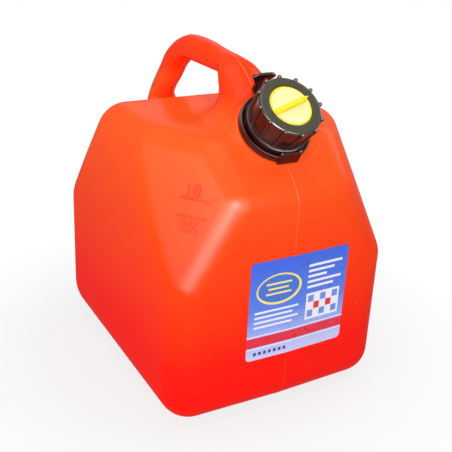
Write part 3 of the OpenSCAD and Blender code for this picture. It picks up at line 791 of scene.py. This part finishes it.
def make_seam(tank):
    """The fine mould line along the middle of the tank and its handle."""
    parts = []
    for points, normals, closed in middle_chains(tank):
        if len(points) < SHORTEST_CHAIN:
            continue
        if closed:
            points, normals = (np.vstack([rows, rows[:1]]) for rows in (points, normals))
        steps = np.linalg.norm(np.diff(points, axis=0), axis=1)
        along = np.concatenate([[0], np.cumsum(steps)])
        where = np.arange(0, along[-1], SEAM_STEP)
        line, out = (np.stack([np.interp(where, along, rows[:, k]) for k in range(3)], axis=1)
                     for rows in (points, normals))
        out[:, 0] = 0
        for _ in range(6):
            out[1:-1] = (out[:-2] + 2 * out[1:-1] + out[2:]) / 4
        out /= np.linalg.norm(out, axis=1)[:, None]
        shows = seam_shows(line)
        for start in np.flatnonzero(shows & ~np.concatenate([[False], shows[:-1]])):
            stop = start
            while stop < len(shows) and shows[stop]:
                stop += 1
            if stop - start >= SHORTEST_RUN:
                parts.append(seam_run(line[start:stop], out[start:stop]))
    obj = new_object("mould_seam", *join(parts))
    turn_outward(obj.data)
    return obj


def number_mesh(body):
    curve = bpy.data.curves.new("number", "FONT")
    curve.body = body
    curve.size = NUMBER_SIZE
    curve.offset = NUMBER_SWELL
    curve.extrude = NUMBER_RISE
    curve.bevel_depth = NUMBER_BEVEL
    curve.bevel_resolution = 1
    curve.resolution_u = 6
    text = put("number", curve)
    graph = bpy.context.evaluated_depsgraph_get()
    mesh = bpy.data.meshes.new_from_object(text.evaluated_get(graph))
    out = [tuple(v.co) for v in mesh.vertices], [tuple(f.vertices) for f in mesh.polygons]
    bpy.data.objects.remove(text)
    bpy.data.curves.remove(curve)
    bpy.data.meshes.remove(mesh)
    return out


def make_marks(facet):
    """Raised level marks on the left front facet: two lines and their numbers."""
    normal, reach = facet
    along = np.array(MARK_ALONG)
    along -= normal * (along @ normal)
    along /= np.linalg.norm(along)
    basis = np.stack([along, np.cross(normal, along), normal], axis=1)
    origin = np.array(MARK_AT)
    origin += normal * (reach - origin @ normal)
    parts = [bar((x0, y - MARK_HALF, -MARK_SINK), (x1, y + MARK_HALF, MARK_RISE), 0.35)
             for x0, x1, y in MARK_LINES]
    for body, right, up in MARK_NUMBERS:
        points, faces = number_mesh(body)
        parts.append(([(x + right, y + up, z) for x, y, z in points], faces))
    points, faces = join(parts)
    obj = new_object("level_marks", [origin + basis @ np.array(p, float) for p in points], faces)
    obj.data.set_sharp_from_angle(angle=MARK_SHARP)
    return obj


# Materials. Lengths are in metres, and the scales of noise per metre.
GRAIN_SCALE, GRAIN_STRENGTH, GLOSS_SCALE = 1400, 0.6, 90
CAN_TALL = 0.3
WAVE_SCALE, WAVE_DEPTH = 20, 0.0006
SHEEN_FACING, SHEEN_HEIGHT = (0.75, 0.98), (0.026, 0.030)


def material(name):
    mat = bpy.data.materials.new(name)
    mat.use_nodes = True
    tree = mat.node_tree
    return mat, tree, tree.nodes["Principled BSDF"]


def add(tree, kind, **values):
    node = tree.nodes.new(kind)
    for key, value in values.items():
        setattr(node, key, value)
    return node


def give(tree, socket, value):
    """Links a socket, or sets it to a number or a colour."""
    if isinstance(value, bpy.types.NodeSocket):
        tree.links.new(value, socket)
    elif isinstance(value, tuple):
        socket.default_value = (*value, 1)
    else:
        socket.default_value = value


def wire(tree, node, values):
    """Links or sets the sockets of a node by their names."""
    for name, value in values.items():
        give(tree, node.inputs[name], value)


def noise(tree, where, scale, detail=3.0, rough=0.5, stretch=None):
    if stretch is not None:
        move = add(tree, "ShaderNodeMapping")
        move.inputs["Scale"].default_value = stretch
        tree.links.new(where, move.inputs["Vector"])
        where = move.outputs["Vector"]
    node = add(tree, "ShaderNodeTexNoise")
    wire(tree, node, {"Scale": scale, "Detail": detail, "Roughness": rough, "Vector": where})
    return node.outputs["Fac"]


def ramp(tree, value, stops):
    node = add(tree, "ShaderNodeValToRGB")
    elements = node.color_ramp.elements
    elements.remove(elements[1])
    for i, (at, colour) in enumerate(stops):
        e = elements[0] if i == 0 else elements.new(at)
        e.position = at
        e.color = (*colour, 1)
    tree.links.new(value, node.inputs["Fac"])
    return node.outputs["Color"]


def spread(tree, value, low, high, start=0.0, end=1.0):
    """Brings a value from the range of start to end into that of low to high."""
    node = add(tree, "ShaderNodeMapRange")
    wire(tree, node, {"From Min": start, "From Max": end, "To Min": low, "To Max": high,
                      "Value": value})
    return node.outputs["Result"]


def calc(tree, kind, *values):
    node = add(tree, "ShaderNodeMath", operation=kind)
    for socket, value in zip(node.inputs, values):
        give(tree, socket, value)
    return node.outputs[0]


def bump(tree, height, distance, strength=1.0, under=None):
    node = add(tree, "ShaderNodeBump")
    wire(tree, node, {"Distance": distance, "Strength": strength, "Height": height})
    if under is not None:
        tree.links.new(under, node.inputs["Normal"])
    return node.outputs["Normal"]


def mix_colour(tree, share, a, b):
    node = add(tree, "ShaderNodeMix", data_type="RGBA")
    for socket, value in ((node.inputs[0], share), (node.inputs[6], a), (node.inputs[7], b)):
        give(tree, socket, value)
    return node.outputs[2]


def place_of(tree):
    """The place in the frame, and its three parts."""
    where = add(tree, "ShaderNodeTexCoord").outputs["Object"]
    split = add(tree, "ShaderNodeSeparateXYZ")
    tree.links.new(where, split.inputs[0])
    return where, split.outputs


def along_neck(tree, vector):
    """How far a vector goes along the neck axis."""
    node = add(tree, "ShaderNodeVectorMath", operation="DOT_PRODUCT")
    tree.links.new(vector, node.inputs[0])
    node.inputs[1].default_value = NECK_AXIS
    return node.outputs["Value"]


def neck_height(tree, where):
    """Distance above the seat along the neck axis."""
    away = add(tree, "ShaderNodeVectorMath", operation="SUBTRACT")
    tree.links.new(where, away.inputs[0])
    away.inputs[1].default_value = tuple(NECK_AT * MM)
    return along_neck(tree, away.outputs[0])


def scratches(tree, where, stretch):
    """Fine lines in a few patches."""
    black, white = (0, 0, 0), (1, 1, 1)
    lines = ramp(tree, noise(tree, where, 1.0, 2, 0.5, stretch), [(0.68, black), (0.74, white)])
    patch = ramp(tree, noise(tree, where, 9, 2), [(0.5, black), (0.66, white)])
    return calc(tree, "MULTIPLY", lines, patch)


def mottled(tree, where, scale, dark, light):
    return ramp(tree, noise(tree, where, scale, 4), [(0.3, dark), (0.7, light)])


def grain(tree, where, depth, under=None):
    return bump(tree, noise(tree, where, GRAIN_SCALE, 2), depth, GRAIN_STRENGTH, under)


def finish_plastic(tree, shader, where, colour, rough, depth, level):
    """Gives the shader its colour, an uneven gloss and a fine grain."""
    gloss = spread(tree, noise(tree, where, GLOSS_SCALE, 5, 0.6), *rough)
    wire(tree, shader, {"Base Color": colour, "Roughness": gloss, "Specular IOR Level": level,
                        "Normal": grain(tree, where, depth)})


def plastic(name, colours, rough, depth, level=0.5, scale=14):
    mat, tree, shader = material(name)
    where, _ = place_of(tree)
    colour = mottled(tree, where, scale, *colours)
    finish_plastic(tree, shader, where, colour, rough, depth, level)
    return mat


def tank_plastic(name, stops, pale=0.4):
    """Blown polyethylene: a red for each height with painted shade, deeper low down and on the
    handle, and painted light, paler and more orange near the roof; slow waves, grain and pale
    scuffs.
    """
    mat, tree, shader = material(name)
    where, (_, _, z) = place_of(tree)
    uneven = spread(tree, noise(tree, where, 11, 3), -0.05, 0.05)
    height = calc(tree, "ADD", spread(tree, z, 0.0, 1.0, 0.0, CAN_TALL), uneven)
    # The ramp paints shade and light by height: the red deepens low down and on the handle, and is
    # paler near the roof where the light falls
    colour = ramp(tree, height, stops)
    scuff = spread(tree, scratches(tree, where, (90, 900, 240)), 0.0, pale)
    colour = mix_colour(tree, scuff, colour, (0.95, 0.17, 0.10))
    gloss = spread(tree, noise(tree, where, 60, 5, 0.6), 0.4, 0.5)
    waves = bump(tree, noise(tree, where, WAVE_SCALE, 2), WAVE_DEPTH)
    normal = grain(tree, where, 0.00002, waves)
    wire(tree, shader, {"Base Color": colour, "Roughness": gloss, "Specular IOR Level": 0.0,
                        "Normal": normal})
    # A thin gloss over the dyed plastic
    wire(tree, shader, {"Coat Weight": 0.11, "Coat IOR": 1.8, "Coat Roughness": 0.22,
                        "Coat Normal": normal})
    return mat


def closure_plastic(name, red_reflected_walls, top_sheen):
    """Glossy dark plastic, its walls tinted red as a painted reflection of the tank, with a pale
    olive painted sheen on faces turned up near the collar's top.
    """
    mat, tree, shader = material(name)
    where, _ = place_of(tree)
    normal = add(tree, "ShaderNodeNewGeometry").outputs["Normal"]
    # Painted sheen: faces turned up the neck axis, high on the collar, get a pale olive that stands
    # in for the reflection of the bright room
    facing = spread(tree, along_neck(tree, normal), 0.0, 1.0, *SHEEN_FACING)
    high = spread(tree, neck_height(tree, where), 0.0, 1.0, *SHEEN_HEIGHT)
    uneven = spread(tree, noise(tree, where, 60, 4), -0.15, 0.15)
    sheen_share = calc(tree, "ADD", calc(tree, "MULTIPLY", facing, high), uneven)
    colour = ramp(tree, sheen_share, [(0.05, red_reflected_walls), (0.95, top_sheen)])
    finish_plastic(tree, shader, where, colour, (0.14, 0.24), 0.000015, 0.45)
    return mat


def stopper_plastic():
    """Yellow plastic, the dish face painted paler than the rim and the bar above it, a painted
    sheen for the glossy reflection that veils it.
    """
    mat, tree, shader = material("stopper_plastic")
    where, _ = place_of(tree)
    face = DISH_Z * MM
    above = spread(tree, neck_height(tree, where), 0.0, 1.0, face + 0.0001, face + 0.0005)
    # Painted sheen: the dish face is paler, standing in for the glossy reflection over it; rim and
    # bar keep the saturated yellow
    sheened_face = mottled(tree, where, 60, (0.83, 0.74, 0.33), (0.85, 0.76, 0.42))
    colour = mix_colour(tree, above, sheened_face, (0.88, 0.70, 0.02))
    finish_plastic(tree, shader, where, colour, (0.26, 0.36), 0.00002, 0.2)
    return mat


def label_film():
    """Printed film: blue fading to lavender, a red band, a ring, plain bars and a checked panel."""
    mat, tree, shader = material("label_film")
    where, (x, _, z) = place_of(tree)
    # Shares of the label's width and height
    u = spread(tree, x, 0.0, 1.0, (LABEL_X - LABEL_W / 2) * MM, (LABEL_X + LABEL_W / 2) * MM)
    v = spread(tree, z, 0.0, 1.0, LABEL_Z * MM, (LABEL_Z + LABEL_H) * MM)

    def within(left, right, low, high):
        across = calc(tree, "COMPARE", u, (left + right) / 2, (right - left) / 2)
        upward = calc(tree, "COMPARE", v, (low + high) / 2, (high - low) / 2)
        return calc(tree, "MULTIPLY", across, upward)

    def oval(across, upward, wide, high):
        squares = []
        for way, at, half in ((u, across, wide), (v, upward, high)):
            off = calc(tree, "MULTIPLY", calc(tree, "SUBTRACT", way, at), 1 / half)
            squares.append(calc(tree, "MULTIPLY", off, off))
        return calc(tree, "LESS_THAN", calc(tree, "ADD", *squares), 1.0)

    uneven = calc(tree, "ADD", v, spread(tree, noise(tree, where, 40, 2), -0.02, 0.02))
    colour = ramp(tree, uneven, [(0.0, (0.56, 0.58, 0.86)), (0.22, (0.36, 0.43, 0.84)),
                                 (0.5, (0.10, 0.20, 0.74)), (1.0, (0.045, 0.12, 0.68))])
    white, red, yellow = (0.80, 0.81, 0.86), (0.70, 0.025, 0.05), (0.84, 0.74, 0.16)
    navy, ring_blue, check_blue = (0.05, 0.06, 0.28), (0.06, 0.16, 0.62), (0.16, 0.26, 0.74)
    # The red band between two fine lines, and the ring
    areas = [(within(0, 1, 0.115, 0.125), white), (within(0, 1, 0.135, 0.235), red),
             (within(0, 1, 0.245, 0.255), white), (oval(0.29, 0.70, 0.225, 0.155), yellow),
             (oval(0.285, 0.705, 0.205, 0.135), ring_blue)]
    # Plain bars in the ring, at the upper right and at the left
    for k in range(3):
        left, right, down = 0.16 + 0.02 * (k % 2), 0.41 - 0.03 * (k % 2), 0.05 * k
        areas.append((within(left, right, 0.75 - down, 0.768 - down), yellow))
    for k in range(5):
        right, down = 0.94 - 0.08 * (k % 3), 0.055 * k
        areas.append((within(0.58, right, 0.85 - down, 0.875 - down), white))
    for k in range(4):
        right, down = 0.50 - 0.06 * (k % 2), 0.05 * k
        areas.append((within(0.06, right, 0.48 - down, 0.50 - down), white))
    # The checked panel, and a row of squares at the foot
    areas.append((within(0.58, 0.94, 0.30, 0.575), white))
    for k in range(5):
        for m in range(3):
            if (k + m) % 2 == 0:
                right, up = 0.065 * k, 0.078 * m
                square = within(0.60 + right, 0.66 + right, 0.325 + up, 0.395 + up)
                areas.append((square, red if m == 1 else check_blue))
    areas += [(within(0.07 + 0.05 * k, 0.10 + 0.05 * k, 0.045, 0.08), navy) for k in range(7)]
    for mask, paint in areas:
        colour = mix_colour(tree, mask, colour, paint)
    scuff = spread(tree, scratches(tree, where, (240, 240, 700)), 0.0, 0.15)
    colour = mix_colour(tree, scuff, colour, (0.80, 0.80, 0.84))
    gloss = spread(tree, noise(tree, where, 120, 4, 0.6), 0.22, 0.36)
    creases = bump(tree, noise(tree, where, 60, 3), 0.00012)
    wire(tree, shader, {"Base Color": colour, "Roughness": gloss, "Specular IOR Level": 0.2,
                        "Normal": creases})
    return mat


# Reds by share of the can's height: painted shade, deeper and darker towards the bottom and on the
# handle, and painted light, paler and more orange near the roof
RED = tank_plastic("red_plastic", [
    (0.0, (0.95, 0.003, 0.0003)), (0.2, (0.95, 0.007, 0.0004)), (0.37, (0.95, 0.032, 0.001)),
    (0.55, (0.95, 0.055, 0.003)), (0.70, (0.95, 0.080, 0.008)), (0.83, (0.95, 0.095, 0.012)),
    (0.89, (0.95, 0.040, 0.002)), (1.0, (0.95, 0.046, 0.003))])
# The seam's red also deepens towards the bottom, painted shade as on the tank, and is paler than
# the tank's red
LINE = tank_plastic("seam_plastic", [
    (0.0, (0.95, 0.02, 0.005)), (0.37, (0.95, 0.055, 0.012)), (0.70, (0.95, 0.12, 0.04)),
    (1.0, (0.95, 0.12, 0.05))])
# The marks are a darker red than the facet around them, painted shade standing in for the shade
# beside the raised lines and numbers
MARK = tank_plastic("mark_plastic", [(0.0, (0.95, 0.044, 0.003)), (1.0, (0.95, 0.052, 0.004))], 0.2)
# The walls' black is tinted red, a painted reflection of the red tank, and the top's pale olive is
# a painted sheen
BLACK = closure_plastic("black_plastic", (0.030, 0.003, 0.003), (0.038, 0.032, 0.014))
STOPPER = stopper_plastic()
YELLOW = plastic("yellow_plastic", ((0.93, 0.78, 0.07), (0.96, 0.84, 0.12)), (0.26, 0.36),
                 0.00002, 0.35, 40)
PALE = plastic("pale_plastic", ((0.74, 0.68, 0.46), (0.80, 0.74, 0.52)), (0.35, 0.45), 0.00002)
RUBBER = plastic("seal_rubber", ((0.02, 0.02, 0.02), (0.035, 0.034, 0.033)), (0.55, 0.7), 0.00005)
FILM = label_film()


def dress(obj, mat):
    obj.data.materials.clear()
    obj.data.materials.append(mat)


tank, facet_plane = make_tank()
for piece, body, node, slot, mat in (
        (tank, "tank", "tank_shell", "red_plastic", RED),
        (make_neck(), "tank", "filler_neck", "red_plastic", RED),
        (make_seam(tank), "tank", None, "red_plastic", LINE),
        (make_marks(facet_plane), "tank", None, "red_plastic", MARK),
        (make_ring(), "lock", "lock_ring", "black_plastic", BLACK),
        (make_collar(), "collar", "screw_collar", "black_plastic", BLACK),
        (make_stopper(), "closure", "stopper_disc", "yellow_plastic", STOPPER)):
    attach(piece, body)
    if node == "tank_shell":
        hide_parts("tank_shell", "carry_handle")
    elif node is not None:
        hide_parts(node)
    dress(piece, mat)
for name, mat in (("stopper_gasket", RUBBER), ("pour_spout", YELLOW), ("spout_gasket", RUBBER),
                  ("vent_tube", PALE), ("front_label", FILM)):
    dress(nodes[name], mat)

# Camera at the photograph's place
CAMERA_AT, LENS, SENSOR = (-0.3659, -0.6281, 0.4326), 63.65, 36
CAMERA_AZ, CAMERA_EL, CAMERA_ROLL = (radians(a) for a in (-31.12, 22.99, 2.87))

# Pale floor in millimetres, and soft light
FLOOR_HALF, FLOOR_Z = 4000, -0.3
# Floor glow near and far from the object; the thinner glow near it paints a grey ring, partly a
# painted shadow
SHADOW_WHITE, SHADOW_NEAR, SHADOW_FAR = 0.8, 0.16, 0.30
SKY_LIGHT = 0.27
RIDGE, GLOW_REACH = (-0.06, -0.12, 0.18), 1.6


def way_to(az, el):
    """The way out to an azimuth and elevation."""
    return sin(az) * cos(el), -cos(az) * cos(el), sin(el)


def glow_at(az, el):
    """Place of a lamp at an azimuth and elevation from the ridge, in degrees."""
    way = np.array(way_to(radians(az), radians(el)))
    return tuple(np.array(RIDGE) + GLOW_REACH * way)


def make_camera():
    back = Vector(way_to(CAMERA_AZ, CAMERA_EL))
    right = (-back).cross(Vector((0, 0, 1))).normalized()
    up = right.cross(-back)
    c, s = cos(CAMERA_ROLL), sin(CAMERA_ROLL)
    turn = Matrix((right * c + up * s, -right * s + up * c, back)).transposed()
    data = bpy.data.cameras.new("camera")
    data.sensor_fit = "HORIZONTAL"
    data.sensor_width = SENSOR
    data.lens = LENS
    data.clip_start = 0.01
    camera = put("camera", data)
    camera.matrix_world = Matrix.Translation(CAMERA_AT) @ turn.to_4x4()
    bpy.context.scene.camera = camera


def seen_rays(tree):
    """One for camera, glossy and transmission rays."""
    path = add(tree, "ShaderNodeLightPath")
    total = path.outputs["Is Camera Ray"]
    for name in ("Is Glossy Ray", "Is Transmission Ray"):
        total = calc(tree, "MAXIMUM", total, path.outputs[name])
    return total


def make_floor():
    corners = [(x * FLOOR_HALF, y * FLOOR_HALF, FLOOR_Z)
               for x, y in ((-1, -1), (1, -1), (1, 1), (-1, 1))]
    floor = new_object("floor", corners, [(0, 1, 2, 3)], False)
    mat, tree, shader = material("floor")
    wire(tree, shader, {"Base Color": (0.55, 0.55, 0.55), "Roughness": 0.9,
                        "Specular IOR Level": 0.0})
    # White to the eye; close to the object less of it glows, so the lit floor and its real shadow
    # show there, together with a painted grey ring round the object
    where, _ = place_of(tree)
    far = add(tree, "ShaderNodeVectorMath", operation="LENGTH")
    tree.links.new(where, far.inputs[0])
    white = spread(tree, far.outputs["Value"], SHADOW_WHITE, 1.0, SHADOW_NEAR, SHADOW_FAR)
    share = calc(tree, "MULTIPLY", seen_rays(tree), white)
    glow = add(tree, "ShaderNodeEmission")
    mix = add(tree, "ShaderNodeMixShader")
    for socket, output in zip(mix.inputs, (share, shader.outputs[0], glow.outputs[0])):
        tree.links.new(output, socket)
    tree.links.new(mix.outputs[0], tree.nodes["Material Output"].inputs["Surface"])
    dress(floor, mat)


def make_sky():
    world = bpy.data.worlds.new("world")
    bpy.context.scene.world = world
    world.use_nodes = True
    tree = world.node_tree
    strength = spread(tree, seen_rays(tree), SKY_LIGHT, 1.0)
    wire(tree, tree.nodes["Background"], {"Color": (1, 1, 1), "Strength": strength})


def area_light(name, at, target, size, power, gloss_only=False):
    data = bpy.data.lights.new(name, "AREA")
    data.shape = "RECTANGLE"
    data.size, data.size_y = size
    data.energy = power
    obj = put(name, data)
    obj.visible_diffuse = not gloss_only
    way = (Vector(target) - Vector(at)).normalized()
    turn = way.to_track_quat("-Z", "Y").to_matrix().to_4x4()
    obj.matrix_world = Matrix.Translation(at) @ turn


make_camera()
make_floor()
make_sky()
# Name, place, target, size and power; the glow lamps only show in the gloss
for lamp in (
        ("key", (-0.95, -1.20, 0.52), RIDGE, (0.8, 0.8), 9.8),
        ("flash", (-0.63, -1.27, 0.78), (-0.05, -0.1, 0.2), (0.6, 0.6), 7.5),
        ("glow_wide", glow_at(-16, 24), RIDGE, (2.6, 1.6), 94, True),
        ("glow_mid", glow_at(-30, 18), RIDGE, (2.3, 0.8), 49, True),
        ("glow_spot", glow_at(-29, 24), RIDGE, (0.7, 0.6), 26, True),
        ("glow_facet", glow_at(-68, 22), RIDGE, (0.8, 0.7), 10, True),
        ("left", (-1.42, -0.28, 0.74), (-0.06, -0.08, 0.17), (0.95, 0.95), 5.2),
        ("top", (0, -0.1, 1.5), (0, 0, 0.1), (1.0, 1.0), 7),
        ("back", (0.72, 1.2, 0.85), (0, 0, 0.2), (1.0, 0.6), 3),
        ("right", (1.2, 0.1, 1.0), (0, 0, 0.15), (0.7, 0.7), 6.5)):
    area_light(*lamp)
bpy.context.scene.view_settings.view_transform = "Standard"
